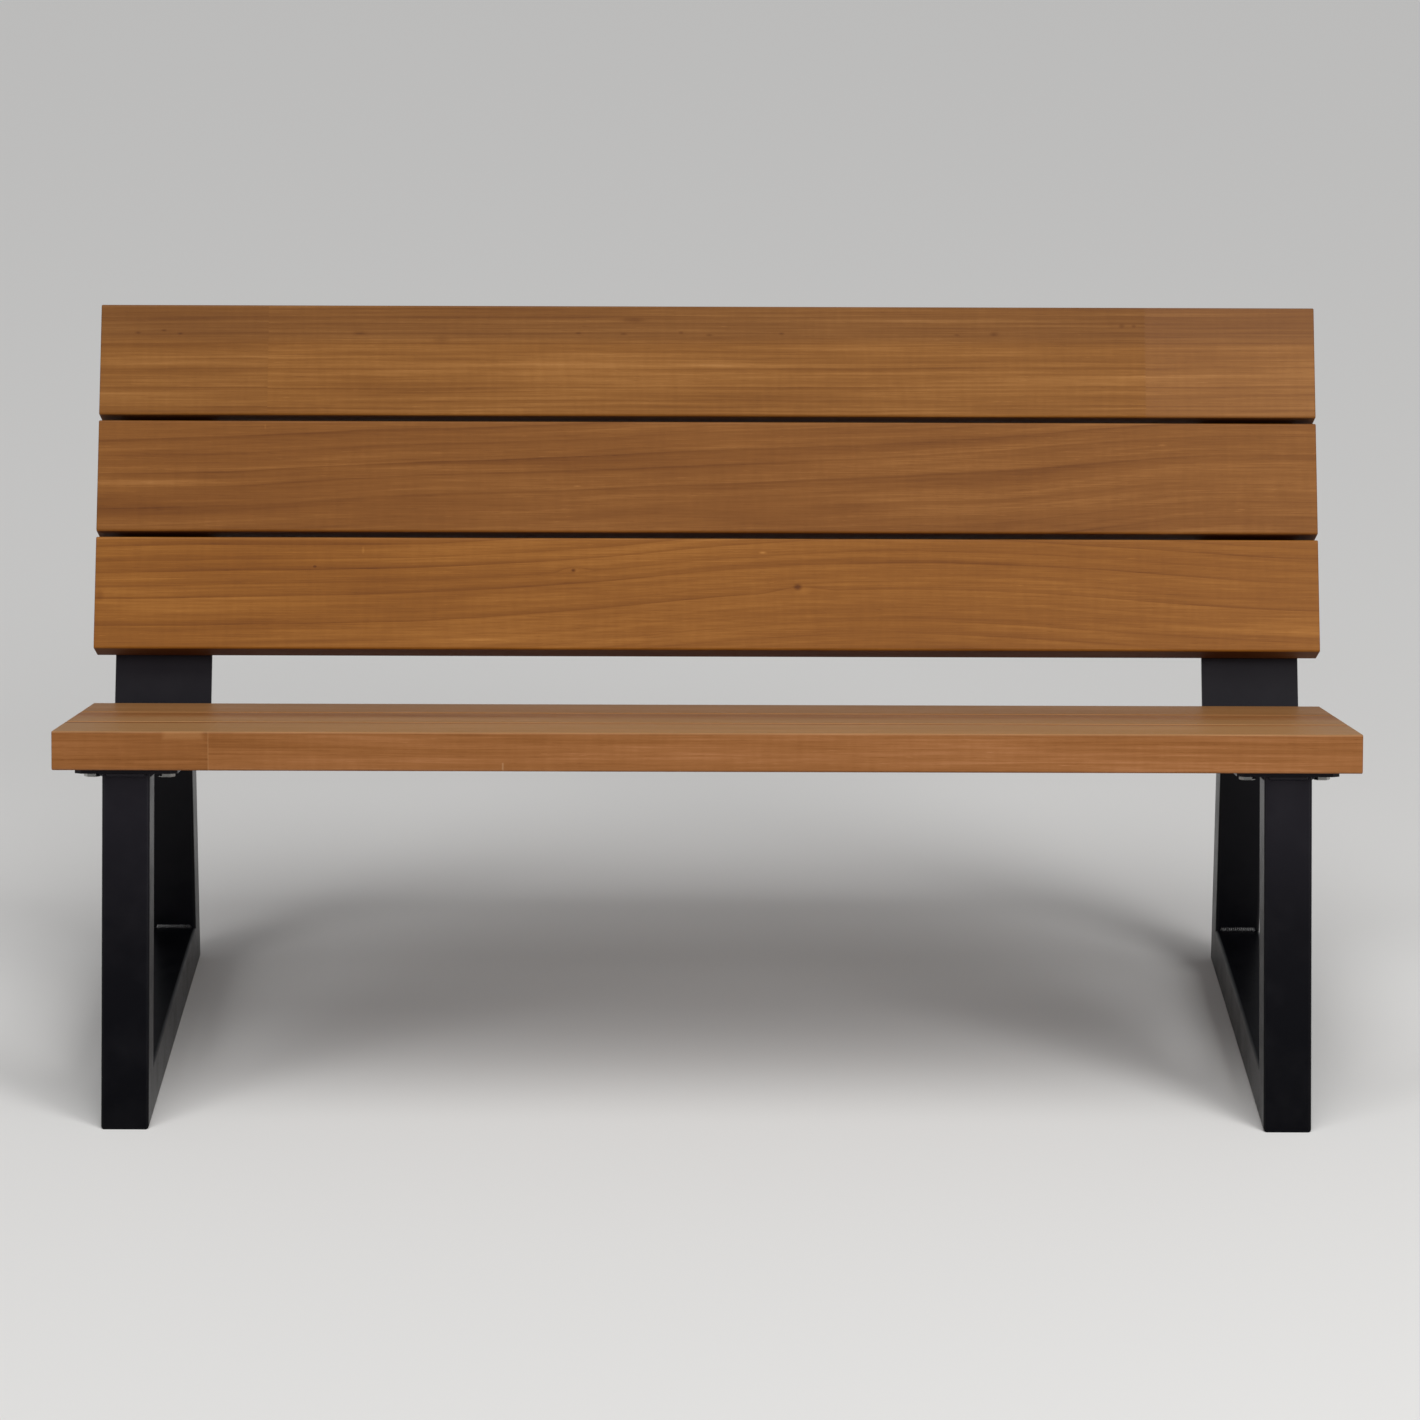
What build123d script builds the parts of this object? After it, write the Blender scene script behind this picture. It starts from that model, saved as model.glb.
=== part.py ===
"""Slatted wooden bench with a leaning back on two welded steel side frames.

Six planed boards, three for the seat and three for the back, are screwed to two bent flat-bar
brackets.  Each bracket stands on a side frame of square tube: a raked front post, a bottom rail
that lies on the floor and a plumb rear post.

Frame: +X runs along the length, -Y is the front where people sit, +Z is up.  The origin is on
the floor, in the middle of the bench's outer box.  Millimetres and degrees.
"""

from build123d import *
from math import cos, radians, sin, sqrt, tan
import os

# ---- boards
LENGTH = 1500.0
BOARD_WIDTH = 140.0
BOARD_THICKNESS = 45.0
BOARD_GAP = 7.0
BOARD_EDGE_RADIUS = 3.0
BOARD_END_CHAMFER = 0.8
SEAT_BOARD_NAMES = ("front", "middle", "rear")
BACK_BOARD_NAMES = ("lower", "middle", "upper")

# ---- sitting posture
SEAT_HEIGHT = 450.0  # top of the seat's front edge above the floor
SEAT_TILT = 10.5  # the seat falls towards the back
BACK_LEAN = 25.5  # the back leans behind the vertical

# ---- bent flat-bar bracket under the seat and behind the back
BRACKET_THICKNESS = 6.0
BRACKET_BEND_RADIUS = 12.0  # on the inside of the bend
BRACKET_CORNER_CHAMFER = 8.0
BRACKET_FRONT_INSET = 24.0  # from the seat's front face to the bracket's front end
BRACKET_TOP_INSET = 24.0  # from the back's top edge down to the bracket's upper end
BEND_BEHIND_SEAT = 15.0  # from the seat's rear edge to the bracket's inside corner
BACK_RISE = 104.0  # from that corner, along the bracket, to the lowest back board

# ---- side frames of square tube
FRAME_INSET = 82.0  # from the boards' ends to the middle of the side frame
TUBE = 55.0
TUBE_WALL = 3.0
TUBE_CORNER_RADIUS = 4.0
FRONT_POST_INSET = 28.0  # from the seat's front face to the post, along the bracket
FRONT_POST_RAKE = 15.0  # the foot stands in front of the post's top
REAR_POST_SETBACK = 87.0  # from the bracket's inside corner to the rear post's front face

# ---- fillet welds
WELD_LEG = 4.5
WELD_CROWN = 0.55  # the bead's face from its root, as a share of its two legs' sum; 0.5 is flat
WELD_END_GAP = 1.0  # between a bead's end and the tube's rounded corner

# ---- hexagon-head wood screws, two to a board at each bracket
SCREW_DIAMETER = 10.0
SCREW_LENGTH = 40.0  # under the head
SCREW_TIP = 8.0
SCREW_HEAD_WIDTH = 17.0  # across the flats
SCREW_HEAD_HEIGHT = 7.0
SCREW_HEAD_CHAMFER = 0.9
SCREW_CLEARANCE = 1.0  # added to the screw's diameter where it passes the bracket
SCREW_TO_WELD = 1.2  # between a head's corner and the bead beside the post
SCREW_EDGE_DISTANCE = 16.0  # from the screw's middle to the bracket's long edge


def span(board_count):
    """Outer width of a row of boards with their gaps."""
    return board_count * BOARD_WIDTH + (board_count - 1) * BOARD_GAP


def across(direction_angle, distance):
    """Offset in the (y, z) plane: distance along a line that rises by the given angle."""
    angle = radians(direction_angle)
    return Vector(0, distance * cos(angle), distance * sin(angle))


# ---- the screws stand either side of the posts and their welds, and the bracket holds them
SCREW_OFFSET = TUBE / 2 + WELD_LEG + SCREW_TO_WELD + SCREW_HEAD_WIDTH / sqrt(3)
BRACKET_WIDTH = 2 * (SCREW_OFFSET + SCREW_EDGE_DISTANCE)

# ---- the side profile, as points and directions in the plane x = 0
SEAT_SPAN = span(len(SEAT_BOARD_NAMES))
BACK_SPAN = span(len(BACK_BOARD_NAMES))
SEAT_ANGLE = -SEAT_TILT
BACK_ANGLE = 90.0 - BACK_LEAN
POST_ANGLE = 90.0 - FRONT_POST_RAKE

seat_along = across(SEAT_ANGLE, 1)  # rearwards, down the seat
seat_up = across(SEAT_ANGLE + 90, 1)
back_along = across(BACK_ANGLE, 1)  # upwards, along the back
back_out = across(BACK_ANGLE + 90, 1)  # towards the sitter
post_along = across(POST_ANGLE, 1)  # up the raked front post
post_back = across(POST_ANGLE - 90, 1)  # rearwards, square to that post

# The profile is first worked out from the seat's front edge, and then moved so that the
# bench's outer box is centred on the origin.
edge_to_bracket = seat_up * -BOARD_THICKNESS
bend_from_edge = edge_to_bracket + seat_along * (SEAT_SPAN + BEND_BEHIND_SEAT)
post_top_from_edge = (
    edge_to_bracket - seat_up * BRACKET_THICKNESS + seat_along * FRONT_POST_INSET
)
post_top_height = SEAT_HEIGHT + post_top_from_edge.Z
foot_from_edge = post_top_from_edge.Y - post_top_height * tan(radians(FRONT_POST_RAKE))
back_top_from_edge = bend_from_edge + back_along * (BACK_RISE + BACK_SPAN)
back_round_centre = back_top_from_edge + (back_out - back_along) * BOARD_EDGE_RADIUS
rear_post_from_edge = bend_from_edge.Y + REAR_POST_SETBACK + TUBE

REARMOST = max(back_round_centre.Y + BOARD_EDGE_RADIUS, rear_post_from_edge)
FOREMOST = min(foot_from_edge, edge_to_bracket.Y)
SEAT_EDGE_Y = -(REARMOST + FOREMOST) / 2

seat_edge = Vector(0, SEAT_EDGE_Y, SEAT_HEIGHT)
bend = seat_edge + bend_from_edge  # inside corner of the bracket, before its radius
post_top = seat_edge + post_top_from_edge  # front face of the front post, at the bracket
front_foot = Vector(0, SEAT_EDGE_Y + foot_from_edge, 0)
rear_foot = Vector(0, SEAT_EDGE_Y + rear_post_from_edge, 0)
FRAME_X = LENGTH / 2 - FRAME_INSET

# ---- cutting planes of the tubes: the plates' normals point out of the posts, the mitres' up
# into them
SEAT_PLATE_UNDERSIDE = Plane(
    origin=bend - seat_up * BRACKET_THICKNESS, x_dir=(1, 0, 0), z_dir=seat_up
)
BACK_PLATE_REAR = Plane(
    origin=bend - back_out * BRACKET_THICKNESS, x_dir=(1, 0, 0), z_dir=back_out
)
FRONT_MITRE = Plane(
    origin=front_foot, x_dir=(1, 0, 0), z_dir=across(POST_ANGLE / 2 + 90, 1)
)
REAR_MITRE = Plane(origin=rear_foot, x_dir=(1, 0, 0), z_dir=across(45, 1))

os.makedirs("parts", exist_ok=True)


def save(builder, name):
    """Label a finished piece and write it as its own STEP file."""
    builder.part.label = name
    export_step(builder.part, f"parts/{name}.step")


def seat_board_start(index):
    """Distance from the seat's front face to a seat board's front edge."""
    return index * (BOARD_WIDTH + BOARD_GAP)


def back_board_start(index):
    """Distance from the bracket's bend to a back board's lower edge."""
    return BACK_RISE + index * (BOARD_WIDTH + BOARD_GAP)


def screw_planes(middle, outward, frame_x):
    """Planes of two screws beside each other, on the bracket's face, facing the board."""
    planes = []
    for side in (-1, 1):
        point = middle + Vector(frame_x + side * SCREW_OFFSET, 0, 0)
        planes.append(Plane(origin=point, x_dir=(1, 0, 0), z_dir=outward))
    return planes


def seat_screws_at(index, frame_x):
    """Screw planes of one seat board at one side frame."""
    centre = seat_board_start(index) + BOARD_WIDTH / 2
    middle = seat_edge + edge_to_bracket + seat_along * centre
    return screw_planes(middle, seat_up, frame_x)


def back_screws_at(index, frame_x):
    """Screw planes of one back board at one side frame."""
    centre = back_board_start(index) + BOARD_WIDTH / 2
    return screw_planes(bend + back_along * centre, back_out, frame_x)


def make_board(name, lower_edge, along, outward, screws):
    """One planed board with eased edges; lower_edge is its corner on the bracket side."""
    middle = lower_edge + along * (BOARD_WIDTH / 2) + outward * (BOARD_THICKNESS / 2)
    section = Plane(origin=middle, x_dir=along, z_dir=(1, 0, 0))
    with BuildPart() as board:
        with BuildSketch(section):
            RectangleRounded(BOARD_WIDTH, BOARD_THICKNESS, BOARD_EDGE_RADIUS)
        extrude(amount=LENGTH / 2, both=True)
        ends = board.faces().filter_by(Axis.X)
        chamfer(ends.edges(), BOARD_END_CHAMFER)
        for screw in screws:
            with Locations((-screw).location):
                Hole(SCREW_DIAMETER / 2, depth=SCREW_LENGTH - BRACKET_THICKNESS)
    save(board, name)


def make_boards():
    """The three seat boards and the three back boards."""
    for index, word in enumerate(SEAT_BOARD_NAMES):
        screws = seat_screws_at(index, -FRAME_X) + seat_screws_at(index, FRAME_X)
        start = seat_edge + edge_to_bracket + seat_along * seat_board_start(index)
        make_board(f"seat_board_{word}", start, seat_along, seat_up, screws)
    for index, word in enumerate(BACK_BOARD_NAMES):
        screws = back_screws_at(index, -FRAME_X) + back_screws_at(index, FRAME_X)
        start = bend + back_along * back_board_start(index)
        make_board(f"back_board_{word}", start, back_along, back_out, screws)


def make_bracket(side, frame_x):
    """Flat bar under the seat, bent up behind the back, drilled for the screws."""
    front_end = seat_edge + edge_to_bracket + seat_along * BRACKET_FRONT_INSET
    top_end = bend + back_along * (BACK_RISE + BACK_SPAN - BRACKET_TOP_INSET)
    screws = []
    for index in range(len(SEAT_BOARD_NAMES)):
        screws += seat_screws_at(index, frame_x)
    for index in range(len(BACK_BOARD_NAMES)):
        screws += back_screws_at(index, frame_x)
    with BuildPart() as bracket:
        with BuildSketch(Plane.YZ.offset(frame_x - BRACKET_WIDTH / 2)):
            with BuildLine():
                FilletPolyline(
                    (front_end.Y, front_end.Z),
                    (bend.Y, bend.Z),
                    (top_end.Y, top_end.Z),
                    radius=BRACKET_BEND_RADIUS,
                )
                offset(amount=BRACKET_THICKNESS, side=Side.RIGHT)
            make_face()
        extrude(amount=BRACKET_WIDTH)
        corners = bracket.edges().filter_by(
            lambda edge: abs(edge.length - BRACKET_THICKNESS) < 0.01
        )
        chamfer(corners, BRACKET_CORNER_CHAMFER)
        for screw in screws:
            with Locations(screw.location):
                Hole((SCREW_DIAMETER + SCREW_CLEARANCE) / 2, depth=BRACKET_THICKNESS)
    save(bracket, f"{side}_bracket")


def make_tube(name, start, direction, length, first_cut, last_cut):
    """Square tube from start along direction, cut to its joints at both ends."""
    with BuildPart() as tube:
        with BuildSketch(Plane(origin=start, x_dir=(1, 0, 0), z_dir=direction)):
            RectangleRounded(TUBE, TUBE, TUBE_CORNER_RADIUS)
            bore = TUBE - 2 * TUBE_WALL
            bore_radius = TUBE_CORNER_RADIUS - TUBE_WALL
            RectangleRounded(bore, bore, bore_radius, mode=Mode.SUBTRACT)
        extrude(amount=length)
        split(bisect_by=first_cut, keep=Keep.TOP)
        split(bisect_by=last_cut, keep=Keep.BOTTOM)
    save(tube, name)


def make_side_frame(side, frame_x):
    """Raked front post, bottom rail and plumb rear post of one side."""
    shift = Vector(frame_x, 0, 0)
    rail_length = rear_foot.Y - front_foot.Y
    overrun = 2 * TUBE  # spare length at each end, which the cuts take off
    post_start = front_foot + post_back * (TUBE / 2) - post_along * overrun + shift
    post_length = post_top_height / cos(radians(FRONT_POST_RAKE)) + 2 * overrun
    make_tube(
        f"{side}_front_post", post_start, post_along, post_length,
        FRONT_MITRE, SEAT_PLATE_UNDERSIDE,
    )
    rail_start = front_foot + Vector(0, -overrun, TUBE / 2) + shift
    make_tube(
        f"{side}_bottom_rail", rail_start, Vector(0, 1, 0), rail_length + 2 * overrun,
        -FRONT_MITRE, REAR_MITRE,
    )
    plumb = Vector(0, 0, 1)
    rear_start = rear_foot + Vector(0, -TUBE / 2, -overrun) + shift
    rear_height = (bend + back_along * (BACK_RISE + BACK_SPAN)).Z
    make_tube(
        f"{side}_rear_post", rear_start, plumb, rear_height + overrun,
        REAR_MITRE, BACK_PLATE_REAR,
    )


def make_weld(name, beads):
    """Fillet beads: each has the middle of its root, two leg directions and a length."""
    with BuildPart() as weld:
        for root, leg_a, leg_b, length in beads:
            section = Plane(origin=root, x_dir=leg_a, z_dir=leg_a.cross(leg_b))
            toe_a = section.to_local_coords(root + leg_a * WELD_LEG)
            toe_b = section.to_local_coords(root + leg_b * WELD_LEG)
            crown = (toe_a + toe_b) * WELD_CROWN
            with BuildSketch(section):
                with BuildLine():
                    Line((0, 0), toe_a)
                    ThreePointArc(toe_a, crown, toe_b)
                    Line(toe_b, (0, 0))
                make_face()
            extrude(amount=length / 2, both=True)
    save(weld, name)


def post_top_beads(front_root, rear_root, post_direction, out_of_plate, frame_x):
    """Beads round a post's four sides where its end meets the bracket.

    The roots are the middles of the post's front and rear faces at the bracket, and
    out_of_plate is the bracket's normal on the post's side.
    """
    shift = Vector(frame_x, 0, 0)
    slope = (rear_root - front_root).normalized()
    flat = TUBE - 2 * TUBE_CORNER_RADIUS - 2 * WELD_END_GAP
    slope_length = (rear_root - front_root).length
    side_length = slope_length * flat / TUBE
    beads = [
        (front_root + shift, slope * -1, post_direction * -1, flat),
        (rear_root + shift, slope, post_direction * -1, flat),
    ]
    middle = (front_root + rear_root) * 0.5 + shift
    for way in (-1, 1):
        sideways = Vector(way, 0, 0)
        root = middle + sideways * (TUBE / 2)
        beads.append((root, sideways, out_of_plate, side_length))
    return beads


def make_welds(side, frame_x):
    """Beads in the inside corners at the floor and round both posts' upper ends."""
    shift = Vector(frame_x, 0, 0)
    flat = TUBE - 2 * TUBE_CORNER_RADIUS - 2 * WELD_END_GAP
    plumb = Vector(0, 0, 1)
    rearwards = Vector(0, 1, 0)

    # where the rail's top meets the rear face of the raked post
    post_face = front_foot + post_back * TUBE
    face_length = (TUBE - post_face.Z) / post_along.Z
    front_corner = post_face + post_along * face_length + shift
    make_weld(f"{side}_front_foot_weld", [(front_corner, rearwards, post_along, flat)])
    rear_corner = rear_foot + Vector(0, -TUBE, TUBE) + shift
    make_weld(f"{side}_rear_foot_weld", [(rear_corner, rearwards * -1, plumb, flat)])

    # front post under the seat: its depth along the bracket follows from its rake
    post_depth = TUBE / seat_along.dot(post_back)
    make_weld(
        f"{side}_front_post_weld",
        post_top_beads(
            post_top, post_top + seat_along * post_depth, post_along, seat_up * -1, frame_x
        ),
    )

    # rear post behind the back: its plumb faces cut the bracket's rear face
    plate = bend - back_out * BRACKET_THICKNESS
    front_reach = (rear_foot.Y - TUBE - plate.Y) / back_along.Y
    rear_reach = (rear_foot.Y - plate.Y) / back_along.Y
    make_weld(
        f"{side}_rear_post_weld",
        post_top_beads(
            plate + back_along * front_reach, plate + back_along * rear_reach,
            plumb, back_out * -1, frame_x,
        ),
    )


def make_screws(name, planes):
    """Hexagon-head wood screws, driven through the bracket into the boards."""
    with BuildPart() as screws:
        for plane in planes:
            seat = plane.offset(-BRACKET_THICKNESS)  # the bracket's outer face
            with BuildSketch(seat):
                RegularPolygon(SCREW_HEAD_WIDTH / 2, 6, major_radius=False)
            head = extrude(amount=-SCREW_HEAD_HEIGHT)
            crown = head.faces().filter_by(plane).sort_by_distance(plane.origin)[-1]
            chamfer(crown.edges(), SCREW_HEAD_CHAMFER)
            with BuildSketch(seat):
                Circle(SCREW_DIAMETER / 2)
            extrude(amount=SCREW_LENGTH - SCREW_TIP)
            with Locations(seat.offset(SCREW_LENGTH - SCREW_TIP).location):
                Cone(
                    SCREW_DIAMETER / 2, SCREW_DIAMETER / 10, SCREW_TIP,
                    align=(Align.CENTER, Align.CENTER, Align.MIN),
                )
    save(screws, name)


def make_fasteners(side, frame_x):
    """One group of screws for the seat and one for the back at this side frame."""
    seat_planes = []
    for index in range(len(SEAT_BOARD_NAMES)):
        seat_planes += seat_screws_at(index, frame_x)
    make_screws(f"{side}_seat_screws", seat_planes)
    back_planes = []
    for index in range(len(BACK_BOARD_NAMES)):
        back_planes += back_screws_at(index, frame_x)
    make_screws(f"{side}_back_screws", back_planes)


for side_name, side_x in (("left", -FRAME_X), ("right", FRAME_X)):
    make_side_frame(side_name, side_x)
    make_bracket(side_name, side_x)
    make_welds(side_name, side_x)
    make_fasteners(side_name, side_x)
make_boards()
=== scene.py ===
"""Looks for the garden bench: oiled hardwood boards on black powder-coated steel side frames."""

import math
import random

import bmesh
import bpy
from mathutils import Matrix, Vector


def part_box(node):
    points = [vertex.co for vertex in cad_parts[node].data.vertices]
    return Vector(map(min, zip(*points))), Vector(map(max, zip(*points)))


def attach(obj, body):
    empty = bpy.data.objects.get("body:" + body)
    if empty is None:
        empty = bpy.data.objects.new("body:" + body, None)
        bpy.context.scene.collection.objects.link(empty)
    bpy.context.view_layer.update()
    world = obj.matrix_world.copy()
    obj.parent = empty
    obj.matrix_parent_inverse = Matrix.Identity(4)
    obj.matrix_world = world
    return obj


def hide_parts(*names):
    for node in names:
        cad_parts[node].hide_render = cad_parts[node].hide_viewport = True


MM = 0.001
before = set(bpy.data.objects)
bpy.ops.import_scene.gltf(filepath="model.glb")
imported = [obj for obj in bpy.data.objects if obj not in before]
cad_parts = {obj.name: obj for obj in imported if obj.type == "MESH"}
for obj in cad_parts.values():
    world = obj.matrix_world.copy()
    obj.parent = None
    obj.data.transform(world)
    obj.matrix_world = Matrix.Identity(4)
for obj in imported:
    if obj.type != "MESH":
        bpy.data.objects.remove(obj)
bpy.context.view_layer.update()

# ---------------------------------------------------------------- the bench's own sizes
SEAT_TILT = 10.5  # degrees that the seat falls towards the back
BACK_LEAN = 25.5  # degrees that the back leans behind the vertical
POST_RAKE = 15.0  # degrees that the front posts rake back from their feet
WELD_LEG = 4.5 * MM  # how far a bead reaches along each face
SIDES = ("left", "right")


# ---------------------------------------------------------------- small helpers
def linear(code):
    """An sRGB hex colour as the linear RGBA that a shader socket takes."""
    levels = [int(code[i : i + 2], 16) / 255 for i in (1, 3, 5)]
    curve = [v / 12.92 if v <= 0.04045 else ((v + 0.055) / 1.055) ** 2.4 for v in levels]
    return (*curve, 1.0)


def add(tree, kind, inputs, out=0, stops=(), **settings):
    """Adds a node with its settings and gives one of its outputs, if it has any.

    Each input takes another node's output, which is linked to it, or a plain value.  Its key is
    its name, or its number where names repeat.  A MapRange takes a value, the two ends that it
    comes from and the two that it goes to, and a Mix of colours has its share at 0 and its
    colours at 6 and 7.  The stops of a colour ramp are (place, colour) pairs in order.
    """
    node = tree.nodes.new("ShaderNode" + kind)
    for name, value in settings.items():
        setattr(node, name, value)
    for key, value in inputs.items():
        if isinstance(value, bpy.types.NodeSocket):
            tree.links.new(value, node.inputs[key])
        else:
            node.inputs[key].default_value = value
    for place, _ in stops[1:-1]:
        node.color_ramp.elements.new(place)
    for count, (place, colour) in enumerate(stops):
        element = node.color_ramp.elements[count]
        element.position = place
        element.color = colour
    return node.outputs[out] if node.outputs else None


def new_material(name):
    """An empty node material and its tree."""
    material = bpy.data.materials.new(name)
    material.use_nodes = True
    material.node_tree.nodes.clear()
    return material, material.node_tree


def bench_space(tree, origin=(0, 0, 0), turn=0):
    """Millimetres from an origin, along axes that are turned about the bench's length."""
    place = add(tree, "TexCoord", {}, "Object")
    inputs = {"Vector": place, "Location": origin, "Rotation": (turn, 0, 0), "Scale": (MM, MM, MM)}
    return add(tree, "Mapping", inputs, vector_type="TEXTURE")


def patterns(tree, place, rows, seed=0):
    """A material's random patterns by name.  Each row gives how long, wide and deep its features
    are in millimetres, how much finer detail they hold, how rough that is, and its own seed."""
    found = {}
    for name, size, detail, roughness, own_seed in rows:
        shift = seed + own_seed
        inputs = {"Vector": place, "Location": (shift * 7.31, shift * 3.17, shift * 5.53)}
        stretched = add(tree, "Mapping", {**inputs, "Scale": [1 / extent for extent in size]})
        inputs = {"Vector": stretched, "Scale": 1.0, "Detail": detail, "Roughness": roughness}
        found[name] = add(tree, "TexNoise", inputs)
    return found


# ---------------------------------------------------------------- oiled hardwood
# Each board is cut from its own place in a log.  heart is where the log's heart runs, in
# millimetres across the board and out of its face.  slope moves it along the board, and a
# hump bends it and comes back, as grain does beside a branch.

# Early wood is pale and late wood dark, as a place from 0 to 1 and a share of the middle colour.
WOOD_TONES = ((0.0, 2.1), (0.2, 1.5), (0.4, 1.09), (0.62, 0.83), (0.85, 0.60), (1.0, 0.36))

# Through a season the wood darkens slowly, ends in a thin line and starts light again.
SEASON = ((0.0, 0.35), (0.05, 0.04), (0.4, 0.08), (0.75, 0.36), (0.9, 0.66), (0.96, 1.0), (1.0, 0.55))

SOAKED_AND_SHADED = "#9b8468"  # what the oil takes from the colour where it soaks into cut ends, and the painted shade on the undersides

# How the log bends: length and width of a bend, its detail, and how far it goes.
BENDS = ((420, 130, 1.5, 6), (110, 24, 2.5, 1))

# Fibres and pores are about 0.2 mm wide, too fine to show from where the whole bench is seen,
# so they are drawn 1 to 2 mm wide.
IN_THE_BOARD = (
    ("fade", (240, 36, 36), 2.0, 0.5, 2),  # where a season's line is faint or strong
    ("fibre", (70, 1.6, 1.6), 4.0, 0.65, 3),
    ("cloud", (300, 60, 60), 2.5, 0.5, 5),  # slow changes of shade
    ("pore", (16, 0.9, 0.9), 1.0, 0.5, 6),
    ("ripple", (9, 42, 42), 1.5, 0.5, 7),  # faint figure across the grain
    ("dash", (22, 1.5, 1.5), 1.0, 0.5, 8),  # short pale flakes
)
ALONG_THE_GROWTH = (
    ("streak", (300, 5.0, 5.0), 3.5, 0.5, 4),
    ("broad", (420, 26.0, 26.0), 2.0, 0.5, 9),  # wide bands of a few years each
)


def wood_tones(middle):
    """A board's colours from early to late wood: the darker they are, the redder."""
    red, green, blue, solid = linear(middle)
    return [(at, (red * k**0.72, green * k**0.96, blue * k**1.75, solid)) for at, k in WOOD_TONES]


def spot(tree, local, place, size):
    """1 in the middle of a soft ellipse on the board's face, 0 from its edge outwards."""
    offset = add(tree, "VectorMath", {0: local, 1: (*place, 0)}, operation="SUBTRACT")
    shrink = (2 / size[0], 2 / size[1], 0)
    scaled = add(tree, "VectorMath", {0: offset, 1: shrink}, operation="MULTIPLY")
    reach = add(tree, "VectorMath", {0: scaled}, "Value", operation="LENGTH")
    fall = {0: reach, 1: 0.0, 2: 1.0, 3: 1.0, 4: 0.0}
    return add(tree, "MapRange", fall, interpolation_type="SMOOTHSTEP")


def block(tree, local, middle, half, soft):
    """1 inside a block of the board, falling to 0 over the soft distance outside it."""
    offset = add(tree, "VectorMath", {0: local, 1: middle}, operation="SUBTRACT")
    size = add(tree, "VectorMath", {0: offset}, operation="ABSOLUTE")
    beyond = add(tree, "VectorMath", {0: size, 1: half}, operation="SUBTRACT")
    axes = add(tree, "SeparateXYZ", {0: beyond}).node.outputs
    most = add(tree, "Math", {0: axes[0], 1: axes[1]}, operation="MAXIMUM")
    most = add(tree, "Math", {0: most, 1: axes[2]}, operation="MAXIMUM")
    fall = {0: most, 1: 0.0, 2: soft, 3: 1.0, 4: 0.0}
    return add(tree, "MapRange", fall, interpolation_type="SMOOTHSTEP")


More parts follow.
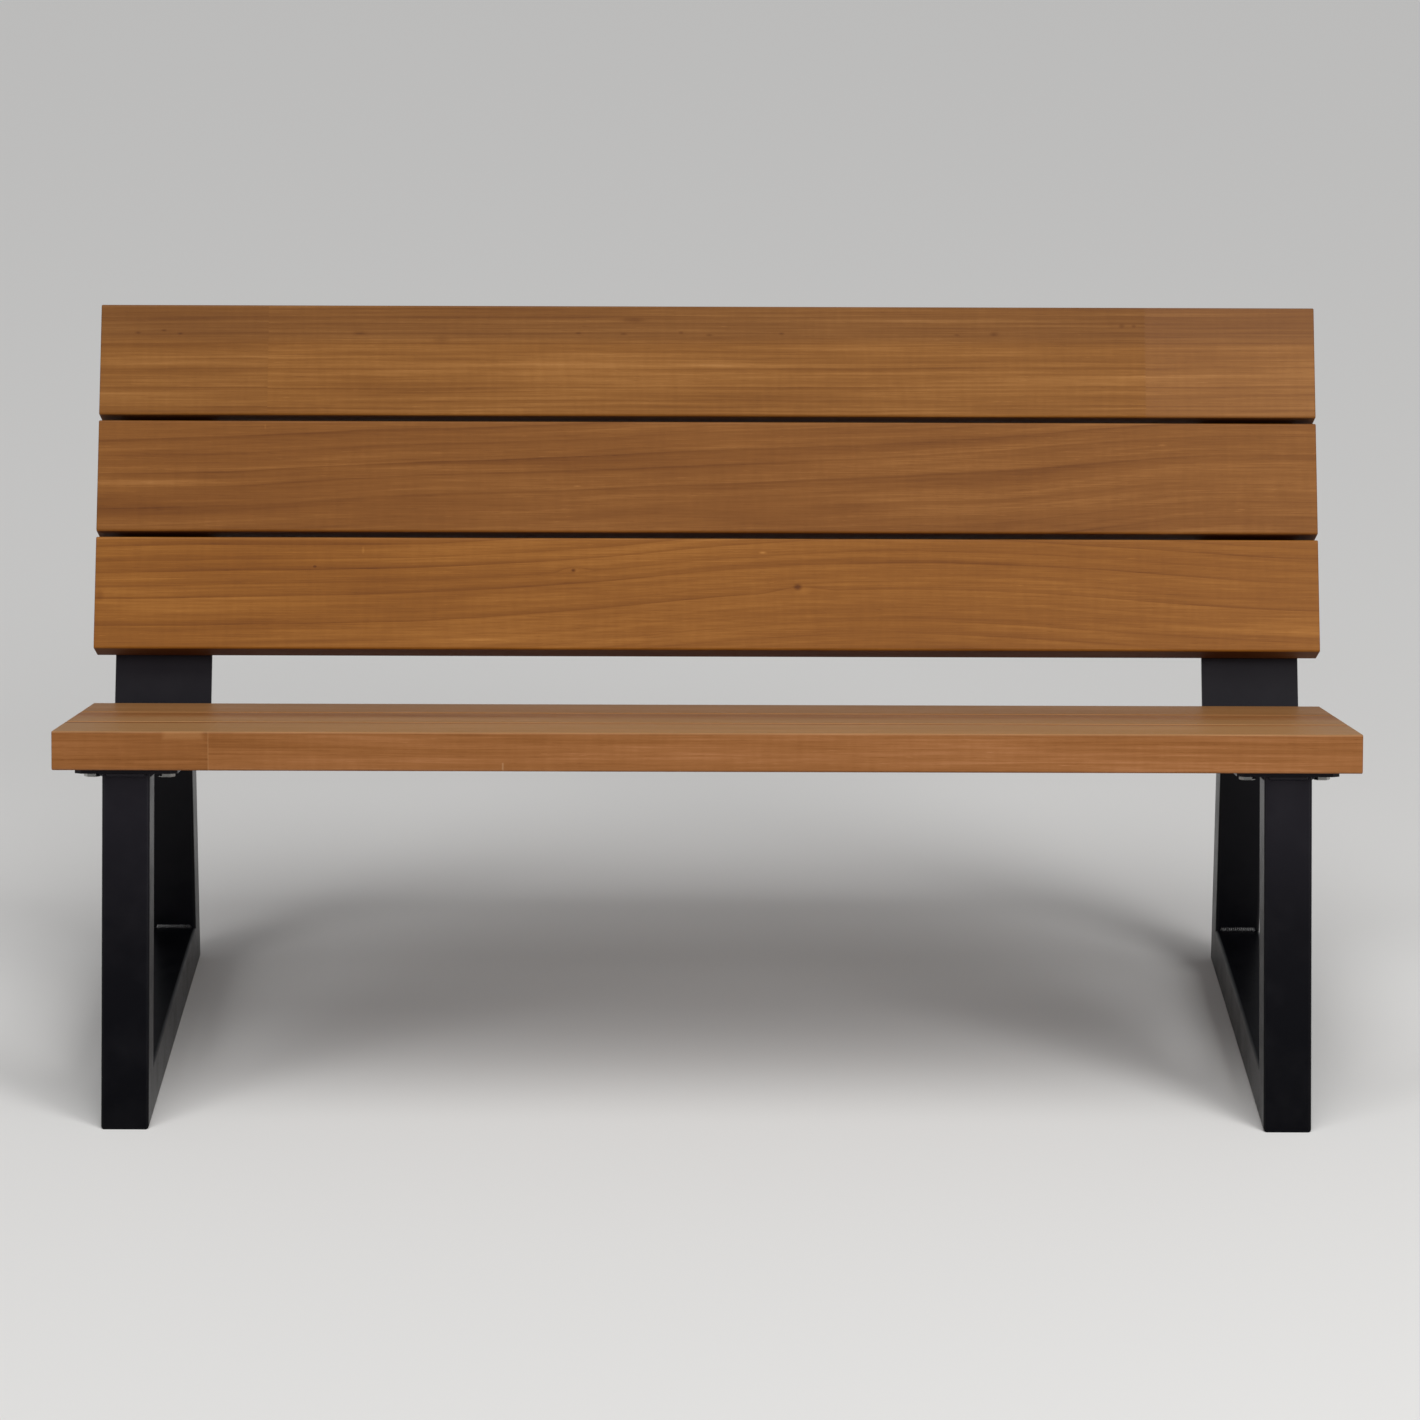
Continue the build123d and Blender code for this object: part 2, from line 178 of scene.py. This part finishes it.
def oiled_hardwood(
    board, angle, colour, heart, slope, hump, ring, season, wave, seed,
    streaks=0.45, pins=(), knots=(), flecks=(), patches=(), joints=(),
):
    """Planed tropical hardwood with one coat of oil: golden brown and low in contrast, with
    soft seasons that end in thin darker lines, fine fibres and a satin surface."""
    material, tree = new_material(f"oiled_hardwood_{board}")
    low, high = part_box(board)
    whole = bench_space(tree, (low + high) / 2, math.radians(angle))

    # a finger-jointed board is several lengths, each with its own grain
    local = whole
    along = add(tree, "SeparateXYZ", {0: whole})
    for place, slip in joints:
        past = add(tree, "Math", {0: along, 1: place}, operation="GREATER_THAN")
        moved = {0: past, 1: (slip * 9, slip, slip * 0.6), 2: local}
        local = add(tree, "VectorMath", moved, operation="MULTIPLY_ADD")

    # the log is never straight: a slow wander and a small wiggle of the grain
    bent = local
    for count, (length, width, detail, reach) in enumerate(BENDS):
        rows = (("bend", (length, width, width), detail, 0.5, count),)
        way = patterns(tree, local, rows, seed)["bend"].node.outputs["Color"]
        pushed = {0: way, 1: (0, reach * wave, reach * wave), 2: bent}
        bent = add(tree, "VectorMath", pushed, operation="MULTIPLY_ADD")
    axes = add(tree, "SeparateXYZ", {0: bent}).node.outputs
    climb = add(tree, "Math", {0: axes[0], 1: slope * MM}, operation="MULTIPLY")
    for middle, length, height in hump:
        rise = spot(tree, bent, (middle, 0), (length, 9000))
        climb = add(tree, "Math", {0: rise, 1: height, 2: climb}, operation="MULTIPLY_ADD")

    # growth rings round the heart, of uneven width and pulled together by knots
    across = add(tree, "Math", {0: axes[1], 1: heart[0]}, operation="SUBTRACT")
    across = add(tree, "Math", {0: across, 1: climb}, operation="SUBTRACT")
    depth = add(tree, "Math", {0: axes[2], 1: heart[1]}, operation="SUBTRACT")
    squares = add(tree, "Math", {0: depth, 1: depth}, operation="MULTIPLY")
    squares = add(tree, "Math", {0: across, 1: across, 2: squares}, operation="MULTIPLY_ADD")
    radius = add(tree, "Math", {0: squares}, operation="SQRT")
    slow = {"W": radius, "Scale": 0.4 / ring, "Detail": 1.0}
    uneven = add(tree, "TexNoise", slow, noise_dimensions="1D")
    turns = add(tree, "Math", {0: radius, 1: 1 / ring}, operation="MULTIPLY")
    turns = add(tree, "Math", {0: uneven, 1: 1.8, 2: turns}, operation="MULTIPLY_ADD")
    for place, size in knots:
        pull = spot(tree, whole, place, (size * 22, size * 9))
        turns = add(tree, "Math", {0: pull, 1: 0.55, 2: turns}, operation="MULTIPLY_ADD")
    within = add(tree, "Math", {0: turns}, operation="FRACT")
    year = add(tree, "Math", {0: turns}, operation="FLOOR")
    stops = [(at, (level, level, level, 1)) for at, level in SEASON]
    growth = add(tree, "ValToRGB", {0: within}, stops=stops)

    # some years leave a darker line than others, and every line fades in and out
    wood = patterns(tree, local, IN_THE_BOARD, seed)
    chance = add(tree, "TexWhiteNoise", {"W": year}, noise_dimensions="1D")
    chance = add(tree, "Math", {0: chance, 1: 0.3}, operation="ADD")
    chance = add(tree, "Math", {0: chance, 1: wood["fade"]}, operation="MULTIPLY")
    growth = add(tree, "Math", {0: growth, 1: chance}, operation="MULTIPLY")

    flow = add(tree, "CombineXYZ", {0: axes[0], 1: across, 2: depth})
    wood.update(patterns(tree, flow, ALONG_THE_GROWTH, seed))
    pores = add(tree, "MapRange", {0: wood["pore"], 1: 0.64, 2: 0.80, 3: 0.0, 4: 1.0})
    dashes = add(tree, "MapRange", {0: wood["dash"], 1: 0.72, 2: 0.82, 3: 0.0, 4: 1.0})

    # how dark the wood is: 0.4 between the growth lines, give or take each pattern's share
    shares = {"fibre": 0.60, "streak": streaks, "broad": 0.45, "cloud": 0.40, "ripple": 0.14}
    middle_level = 0.40 - sum(shares.values()) / 2
    level = add(tree, "Math", {0: growth, 1: season, 2: middle_level}, operation="MULTIPLY_ADD")
    parts = [(wood[name], share) for name, share in shares.items()]
    parts += [(pores, 0.18), (dashes, -0.22)]
    for place, size in knots:
        halo = (place[0] + size * 1.5, place[1] - size * 0.8)
        parts.append((spot(tree, whole, place, (size * 3.0, size * 2.4)), 0.75))
        parts.append((spot(tree, whole, halo, (size * 5, size * 4)), -0.14))
    for place, size, strength in (*pins, *flecks):
        parts.append((spot(tree, whole, place, size), strength))
    for output, share in parts:
        level = add(tree, "Math", {0: output, 1: share, 2: level}, operation="MULTIPLY_ADD")
    shade = add(tree, "ValToRGB", {0: level}, stops=wood_tones(colour))
    for middle, half, soft, tint, amount in patches:
        inside = block(tree, whole, middle, half, soft)
        share = add(tree, "Math", {0: inside, 1: amount}, operation="MULTIPLY")
        shade = add(tree, "Mix", {0: share, 6: shade, 7: linear(tint)}, 2, data_type="RGBA")

    # cut ends drink more oil than the faces, darker and duller; undersides get a thin coat, duller,
    # and are painted darker as painted shade
    facing = add(tree, "SeparateXYZ", {0: add(tree, "TexCoord", {}, "Normal")}).node.outputs
    sideways = add(tree, "Math", {0: facing[0]}, operation="ABSOLUTE")
    end = add(tree, "MapRange", {0: sideways, 1: 0.6, 2: 0.95, 3: 0.0, 4: 0.6})
    # painted shade: faces that look down are painted darker
    underside_shade = add(tree, "MapRange", {0: facing[2], 1: -0.85, 2: -0.5, 3: 0.8, 4: 0.0})
    ends_and_undersides = add(tree, "Math", {0: end, 1: underside_shade}, operation="ADD")
    darker = {0: ends_and_undersides, 6: shade, 7: linear(SOAKED_AND_SHADED)}
    shade = add(tree, "Mix", darker, 2, data_type="RGBA", blend_type="MULTIPLY")

    rough = add(tree, "MapRange", {0: wood["fibre"], 1: 0.3, 2: 0.7, 3: 0.38, 4: 0.52})
    rough = add(tree, "Math", {0: ends_and_undersides, 1: 0.4, 2: rough}, operation="MULTIPLY_ADD")
    relief = add(tree, "Math", {0: wood["fibre"], 1: 0.6}, operation="MULTIPLY")
    relief = add(tree, "Math", {0: growth, 1: 0.3, 2: relief}, operation="MULTIPLY_ADD")
    relief = add(tree, "Math", {0: pores, 1: -0.5, 2: relief}, operation="MULTIPLY_ADD")
    bump = add(tree, "Bump", {"Height": relief, "Strength": 0.35, "Distance": 0.25 * MM})
    finish = {"Base Color": shade, "Roughness": rough, "Normal": bump}
    shader = add(tree, "BsdfPrincipled", {**finish, "IOR": 1.45, "Specular IOR Level": 0.24})
    add(tree, "OutputMaterial", {"Surface": shader})
    return material


# ---------------------------------------------------------------- coated steel
# Painted light: the black coat is painted a little greyer the higher it stands above the floor, and
# stays darkest low down where the shade is.
PAINTED_LIGHT_TOP = 500  # mm above the floor, where the painted light stops growing
PAINTED_LIGHT_BY_HEIGHT = ((0.0, "#000000"), (0.2, "#020203"), (0.45, "#080709"), (0.72, "#1a181c"), (1.0, "#2a272c"))
COAT = ((0.0, "#020205"), (0.6, "#0a090d"), (1.0, "#29282d"))  # clean, dusty, scuffed
SCUFFED_BELOW = 110.0  # mm above the floor, where shoes reach


def powder_coat(name, grit=0.9, rough=0.28, gloss=0.125):
    """Satin black powder coat on steel: a deep, even black with a soft sheen, a breath of dust
    and faint scuffs near the floor.  Its real grit of about 0.2 mm is too fine to show, so it
    is drawn about a millimetre wide."""
    material, tree = new_material(name)
    local = bench_space(tree)
    rows = (
        ("grain", (grit, grit, grit), 2.0, 0.5, 0),
        ("cloud", (60, 60, 60), 3.0, 0.6, 4),
        ("scratch", (3, 14, 2.2), 2.0, 0.5, 9),
    )
    coat = patterns(tree, local, rows)
    grain = coat["grain"]
    dust = add(tree, "MapRange", {0: coat["cloud"], 1: 0.45, 2: 0.75, 3: 0.0, 4: 1.0})
    scuff = add(tree, "MapRange", {0: coat["scratch"], 1: 0.66, 2: 0.76, 3: 0.0, 4: 1.0})
    height = add(tree, "SeparateXYZ", {0: local}, 2)
    fall = {0: height, 1: 0.0, 2: SCUFFED_BELOW, 3: 1.0, 4: 0.0}
    low = add(tree, "MapRange", fall, interpolation_type="SMOOTHSTEP")
    worn = add(tree, "Math", {0: scuff, 1: low}, operation="MULTIPLY")

    level = add(tree, "Math", {0: grain, 1: 0.3, 2: dust}, operation="MULTIPLY_ADD")
    level = add(tree, "Math", {0: level, 1: 0.45}, operation="MULTIPLY")
    level = add(tree, "Math", {0: worn, 1: 0.55, 2: level}, operation="MULTIPLY_ADD")
    colour = add(tree, "ValToRGB", {0: level}, stops=[(at, linear(tone)) for at, tone in COAT])
    # painted light: the colour is lifted by the height above the floor
    above = add(tree, "Math", {0: height, 1: 1 / PAINTED_LIGHT_TOP}, operation="MULTIPLY")
    painted_light = add(tree, "ValToRGB", {0: above}, stops=[(at, linear(tone)) for at, tone in PAINTED_LIGHT_BY_HEIGHT])
    with_painted_light = {0: 1.0, 6: colour, 7: painted_light}
    colour = add(tree, "Mix", with_painted_light, 2, data_type="RGBA", blend_type="ADD")

    touched = add(tree, "Math", {0: dust, 1: 0.4, 2: grain}, operation="MULTIPLY_ADD")
    touched = add(tree, "Math", {0: touched, 1: worn}, operation="ADD")
    rough = add(tree, "MapRange", {0: touched, 1: 0.3, 2: 1.2, 3: rough, 4: rough + 0.16})
    bump = add(tree, "Bump", {"Height": grain, "Strength": 0.3, "Distance": 0.10 * MM})
    finish = {"Base Color": colour, "Roughness": rough, "Normal": bump}
    shader = add(tree, "BsdfPrincipled", {**finish, "Specular IOR Level": gloss})
    add(tree, "OutputMaterial", {"Surface": shader})
    return material


def stainless_steel():
    """Cold-headed stainless screws: a grey metal shine, slightly dulled, with faint marks of
    half a millimetre and more from the forming."""
    material, tree = new_material("stainless_steel_screws")
    rows = (("marks", (2.5, 2.5, 0.6), 4.0, 0.7, 0),)
    marks = patterns(tree, bench_space(tree), rows)["marks"]
    stops = [(0.2, linear("#9b9a97")), (0.8, linear("#c4c3bf"))]
    colour = add(tree, "ValToRGB", {0: marks}, stops=stops)
    rough = add(tree, "MapRange", {0: marks, 1: 0.3, 2: 0.7, 3: 0.26, 4: 0.42})
    finish = {"Base Color": colour, "Roughness": rough, "Metallic": 1.0}
    shader = add(tree, "BsdfPrincipled", finish)
    add(tree, "OutputMaterial", {"Surface": shader})
    return material


# ---------------------------------------------------------------- boards
BACK_ANGLE = 90.0 - BACK_LEAN
DEEP = "#553218"  # the darker heartwood along the upper edge
ROSE = "#93694f"  # the greyer, pinker wood of the right-hand length
PAINTED_SHEEN = "#bb9768"  # painted sheen: the top faces of the seat, painted paler and greyer than the wood
JOINT_LINE = "#c79a6a"  # the seat board's finger joint, where the oil has worn off
NICKED = "#d8b48a"  # bare wood in a small nick
RUBBED = "#bd8a57"  # where the seat's front edge is rubbed

# Places and sizes are in millimetres from the board's middle: along it, across it and out of
# its face.  ring is the width of a year's growth, season how strongly its line shows, wave how
# far the grain wanders and streaks how strongly long streaks show.  pins and flecks are soft
# marks, each a place, a size and a strength, darker above 0 and paler below.  knots are a place
# and a size.  joints are finger joints, each a place along the board and how far the grain
# shifts there.  patches are blocks of another colour: middle, half size, soft edge, colour and
# share.
BOARDS = (
    dict(board="back_board_upper", angle=BACK_ANGLE, colour="#865520", heart=(-420, -60),
         slope=5, hump=(), ring=6.5, season=0.46, wave=1.0, seed=11, streaks=0.8,
         joints=((-543, 1.2), (541, 0.9)),
         pins=(((-704, 34), (11, 5), 0.45), ((-672, 37), (10, 5), 0.45), ((-652, 33), (12, 5), 0.4),
               ((-160, 35), (11, 5), 0.42), ((-104, 34), (13, 5), 0.45), ((-33, 36), (9, 6), 0.4),
               ((2, 33), (12, 5), 0.45), ((91, 35), (10, 5), 0.45), ((308, 34), (11, 5), 0.4),
               ((354, 35), (16, 9), 0.45), ((512, 46), (11, 8), 0.4), ((527, 46), (8, 6), 0.4),
               ((-92, 52), (44, 9), 0.42), ((-430, 34), (26, 8), 0.3), ((-330, 26), (34, 14), 0.18),
               ((-640, 17), (360, 12), 0.18), ((60, -12), (900, 30), -0.06)),
         patches=(((0, 70, 0), (900, 36, 90), 18, DEEP, 0.30),
                  ((-743, 0, 0), (199, 90, 90), 3, DEEP, 0.08),
                  ((741, 0, 0), (199, 90, 90), 3, ROSE, 0.12))),
    dict(board="back_board_middle", angle=BACK_ANGLE, colour="#7f4e1c", heart=(-310, -40),
         slope=42, hump=((620, 620, 16),), ring=24, season=0.50, wave=3.2, seed=23,
         streaks=0.55,
         pins=(((174, -40), (160, 40), 0.17), ((-690, -38), (520, 46), 0.20),
               ((-640, 24), (340, 28), 0.17), ((-700, -9), (340, 18), -0.20),
               ((-400, 11), (420, 15), -0.16), ((40, -52), (300, 18), 0.13),
               # painted shade and painted light: the last two marks darken the left half and pale the
               # right half
               ((-560, 0), (760, 300), 0.07), ((560, 0), (700, 300), -0.08)),
         flecks=(((-545, 62), (3, 9), -0.25), ((-160, -12), (14, 3), -0.3),
                 ((560, 42), (16, 4), -0.25))),
    dict(board="back_board_lower", angle=BACK_ANGLE, colour="#89541a", heart=(290, -30),
         slope=14, hump=((210, 1240, 34),), ring=17, season=0.60, wave=1.9, seed=37,
         streaks=0.5,
         knots=(((111, 9), 5.0), ((-164, 29), 2.6)),
         pins=(((-481, 33), (6, 4), 1.1), ((-744, -4), (16, 18), 0.2),
               ((-520, 62), (460, 16), 0.18), ((-560, -10), (500, 60), -0.11),
               ((640, -42), (620, 26), -0.16), ((-300, -58), (900, 10), -0.12)),
         flecks=(((68, 52), (14, 4), -0.5), ((-422, 54), (5, 14), -0.25))),
    dict(board="seat_board_front", angle=-SEAT_TILT, colour="#8f5b2f", heart=(-30, -170),
         slope=16, hump=(), ring=9.0, season=0.46, wave=1.6, seed=41, streaks=0.6,
         joints=((-571, 31),),
         # painted shade: this wide soft mark darkens the left half of the board
         pins=(((-640, 0), (760, 900), 0.24),),
         # the first patch is a painted sheen on the top face
         patches=(((0, -8, 24), (900, 60, 1), 3, PAINTED_SHEEN, 0.44),
                  ((-571, 0, 0), (0.2, 90, 90), 0.6, JOINT_LINE, 0.20),
                  ((-234, -71, -17), (0.4, 3, 4), 1.0, NICKED, 0.2),
                  ((-600, -72, 19), (18, 6, 1), 8, RUBBED, 0.24))),
    dict(board="seat_board_middle", angle=-SEAT_TILT, colour="#8a5a2f", heart=(30, -90),
         slope=-26, hump=((-100, 1100, -18),), ring=13, season=0.45, wave=2.0, seed=53,
         # the patch is a painted sheen on the top face
         patches=(((0, -60, 24), (900, 30, 2), 60, PAINTED_SHEEN, 0.30),)),
    dict(board="seat_board_rear", angle=-SEAT_TILT, colour="#88592d", heart=(190, -140),
         slope=10, hump=(), ring=9.0, season=0.45, wave=1.4, seed=67,
         # the patch is a painted sheen on the top face
         patches=(((0, 10, 24), (900, 80, 2), 5, PAINTED_SHEEN, 0.14),)),
)


def paint(node_name, material):
    """Gives a CAD node its material in every slot."""
    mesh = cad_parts[node_name].data
    if not mesh.materials:
        mesh.materials.append(material)
    for index in range(len(mesh.materials)):
        mesh.materials[index] = material


def paint_boards():
    """Each board gets its own piece of the log."""
    for row in BOARDS:
        paint(row["board"], oiled_hardwood(**row))


def paint_steel():
    """Coats the side frames, brackets and weld beads, and gives the screws their metal.  The coat
    runs smoother over the beads at the floor, so they catch more light than the tube does."""
    coat = powder_coat("powder_coated_steel")
    coated_bead = powder_coat("powder_coated_weld", grit=1.6, rough=0.18, gloss=0.7)
    screw = stainless_steel()
    for side in SIDES:
        for part in ("front_post", "bottom_rail", "rear_post", "bracket"):
            paint(f"{side}_{part}", coat)
        for part in ("seat_screws", "back_screws"):
            paint(f"{side}_{part}", screw)
    lay_welds(coated_bead, coat)


# ---------------------------------------------------------------- weld beads
WELD_PITCH = 2.6 * MM  # from one crescent of the bead to the next
WELD_STEP = 0.5 * MM  # from one ring of the mesh to the next
WELD_END = 2.2 * MM  # over which an end rounds off
WELD_TIP = 0.3464  # how large a bead is at its very ends, as a share of its middle
WELD_FACETS = 8  # across the bead's face
WELD_RIPPLE = 0.10  # how deep the crescents are, as a share of the bead
WELD_SWELL = (0.75, 1.2)  # the least and most that one crescent rises, as a share of the ripple
WELD_LAG = 1.6  # how far a crescent's middle lies behind its tips, in crescents
WELD_CROWN = 0.28  # how far the face swells beyond flat, as a share of its legs
CORNER_CLEARANCE = 5 * MM  # from a bead's end to the side of the tube


def bead(mesh, root, leg_a, leg_b, length, dice):
    """One fillet bead, laid in overlapping crescents, with rounded ends."""
    run = leg_a.cross(leg_b).normalized()
    swell = [dice.uniform(*WELD_SWELL) for _ in range(int(length / WELD_PITCH) + 4)]
    steps = int(length / WELD_STEP)
    rings = []
    for step in range(steps + 1):
        along = length * step / steps
        from_end = min(along, length - along) / WELD_END
        taper = math.sqrt(max(WELD_TIP**2, 1 - max(0.0, 1 - from_end) ** 2))
        ring = [mesh.verts.new(root + run * (along - length / 2))]
        for spoke in range(WELD_FACETS + 1):
            share = spoke / WELD_FACETS
            lag = along / WELD_PITCH + WELD_LAG * (1 - (2 * share - 1) ** 2)
            bulge = swell[int(lag)] * math.sin(math.pi * (lag % 1.0)) ** 0.6
            scale = 1 - WELD_RIPPLE + WELD_RIPPLE * bulge
            flat = leg_a * (1 - share) + leg_b * share
            crown = (leg_a + leg_b) * WELD_CROWN * share * (1 - share)
            ring.append(mesh.verts.new(ring[0].co + (flat + crown) * WELD_LEG * scale * taper))
        rings.append(ring)
    for first, second in zip(rings, rings[1:]):
        for corner in range(len(first)):
            after = (corner + 1) % len(first)
            mesh.faces.new((first[corner], first[after], second[after], second[corner]))
    mesh.faces.new(list(reversed(rings[0])))
    mesh.faces.new(rings[-1])


def weld(node_name, roots, material, seed):
    """A weld of one or more beads, in place of its plain CAD node."""
    dice = random.Random(seed)
    mesh = bmesh.new()
    for root, leg_a, leg_b, length in roots:
        bead(mesh, root, leg_a, leg_b, length, dice)
    bmesh.ops.recalc_face_normals(mesh, faces=mesh.faces)
    data = bpy.data.meshes.new(f"{node_name}_bead")
    mesh.to_mesh(data)
    mesh.free()
    for face in data.polygons:
        face.use_smooth = True
    piece = bpy.data.objects.new(f"{node_name}_bead", data)
    bpy.context.scene.collection.objects.link(piece)
    data.materials.append(material)
    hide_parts(node_name)
    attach(piece, "root")


def post_top_roots(front, rear, post, plate, width, flat):
    """Beads round a post's end: across its front and rear faces, and along its two sides."""
    slope = (rear - front).normalized()
    middle = (front + rear) / 2
    roots = [(front, -slope, post, flat), (rear, slope, post, flat)]
    for way in (-1, 1):
        sideways = Vector((way, 0, 0))
        side_length = (rear - front).length * flat / width
        roots.append((middle + sideways * width / 2, sideways, plate, side_length))
    return roots


def lay_welds(foot_coat, top_coat):
    """The welds in the inside corners at the floor and round the posts' upper ends."""
    rake = math.radians(POST_RAKE)
    tilt = math.radians(SEAT_TILT)
    lean = math.radians(BACK_LEAN)
    raked = Vector((0, math.sin(rake), math.cos(rake)))
    plumb = Vector((0, 0, 1))
    rearwards = Vector((0, 1, 0))
    seat_slope = Vector((0, math.cos(tilt), -math.sin(tilt)))
    under_seat = Vector((0, -math.sin(tilt), -math.cos(tilt)))
    back_slope = Vector((0, math.sin(lean), math.cos(lean)))
    behind_back = Vector((0, math.cos(lean), -math.sin(lean)))
    for count, side in enumerate(SIDES):
        low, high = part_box(f"{side}_front_post")
        width = high.x - low.x
        flat = width - 2 * CORNER_CLEARANCE
        centre = (low.x + high.x) / 2

        corner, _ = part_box(f"{side}_front_foot_weld")
        root = Vector((centre, corner.y, corner.z))
        weld(f"{side}_front_foot_weld", [(root, rearwards, raked, flat)], foot_coat, count)
        low_corner, high_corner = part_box(f"{side}_rear_foot_weld")
        root = Vector((centre, high_corner.y, low_corner.z))
        weld(f"{side}_rear_foot_weld", [(root, -rearwards, plumb, flat)], foot_coat, count + 10)

        front = Vector((centre, low.y + math.tan(rake) * high.z, high.z))
        rear = front + seat_slope * width / math.cos(rake - tilt)
        roots = post_top_roots(front, rear, -raked, under_seat, width, flat)
        weld(f"{side}_front_post_weld", roots, top_coat, count + 20)
        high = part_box(f"{side}_rear_post")[1]
        rear = Vector((centre, high.y, high.z))
        front = rear - back_slope * width / math.sin(lean)
        roots = post_top_roots(front, rear, -plumb, behind_back, width, flat)
        weld(f"{side}_rear_post_weld", roots, top_coat, count + 30)


# ---------------------------------------------------------------- floor, light and camera
def studio():
    """A pale floor under a soft ceiling light, a softbox at each side in front, and a weak
    card between them that shows in the coated steel."""
    mesh = bpy.data.meshes.new("floor")
    sheet = bmesh.new()
    bmesh.ops.create_grid(sheet, x_segments=1, y_segments=1, size=30)
    sheet.to_mesh(mesh)
    sheet.free()
    floor = bpy.data.objects.new("floor", mesh)
    bpy.context.scene.collection.objects.link(floor)
    material, tree = new_material("pale_floor")
    finish = {"Base Color": linear("#dcdbd9"), "Roughness": 0.95, "Specular IOR Level": 0.1}
    add(tree, "OutputMaterial", {"Surface": add(tree, "BsdfPrincipled", finish)})
    mesh.materials.append(material)

    world = bpy.data.worlds.new("studio")
    bpy.context.scene.world = world
    world.use_nodes = True
    background = world.node_tree.nodes["Background"]
    background.inputs[0].default_value = linear("#e6e8ec")
    background.inputs[1].default_value = 0.22
    target = Vector((0, 0, 0.45))
    # a lamp's size is its width in metres, or for the ceiling the angle that it spans
    for name, kind, place, size, power in (
        ("right_softbox", "AREA", (3.0, -3.4, 2.7), 2.0, 84),
        ("left_softbox", "AREA", (-3.4, -3.4, 2.5), 2.0, 44),
        ("front_card", "AREA", (0.3, -4.6, 2.95), 1.3, 14),
        ("ceiling", "SUN", (0.2, -0.9, 3.4), 0.86, 1.72),
    ):
        lamp = bpy.data.lights.new(name, kind)
        if kind == "AREA":
            lamp.shape = "DISK"
            lamp.size = size
        else:
            lamp.angle = size
        lamp.energy = power
        light = bpy.data.objects.new(name, lamp)
        light.location = place
        aim = target - light.location
        light.rotation_euler = aim.to_track_quat("-Z", "Y").to_euler()
        bpy.context.scene.collection.objects.link(light)
    bpy.context.scene.view_settings.view_transform = "Standard"


def camera():
    """A long lens in front of the bench, a little above it, looking down."""
    lens = bpy.data.cameras.new("camera")
    lens.sensor_width = 36.0
    lens.lens = 135.66
    lens.clip_end = 100
    eye = bpy.data.objects.new("camera", lens)
    pitch, yaw, roll = math.radians(14.84), math.radians(-0.155), math.radians(0.202)
    turn = (
        Matrix.Rotation(yaw, 4, "Z")
        @ Matrix.Rotation(math.pi / 2 - pitch, 4, "X")
        @ Matrix.Rotation(roll, 4, "Z")
    )
    eye.matrix_world = Matrix.Translation((-0.0132, -6.1942, 2.0420)) @ turn
    bpy.context.scene.collection.objects.link(eye)
    bpy.context.scene.camera = eye


paint_boards()
paint_steel()
studio()
camera()
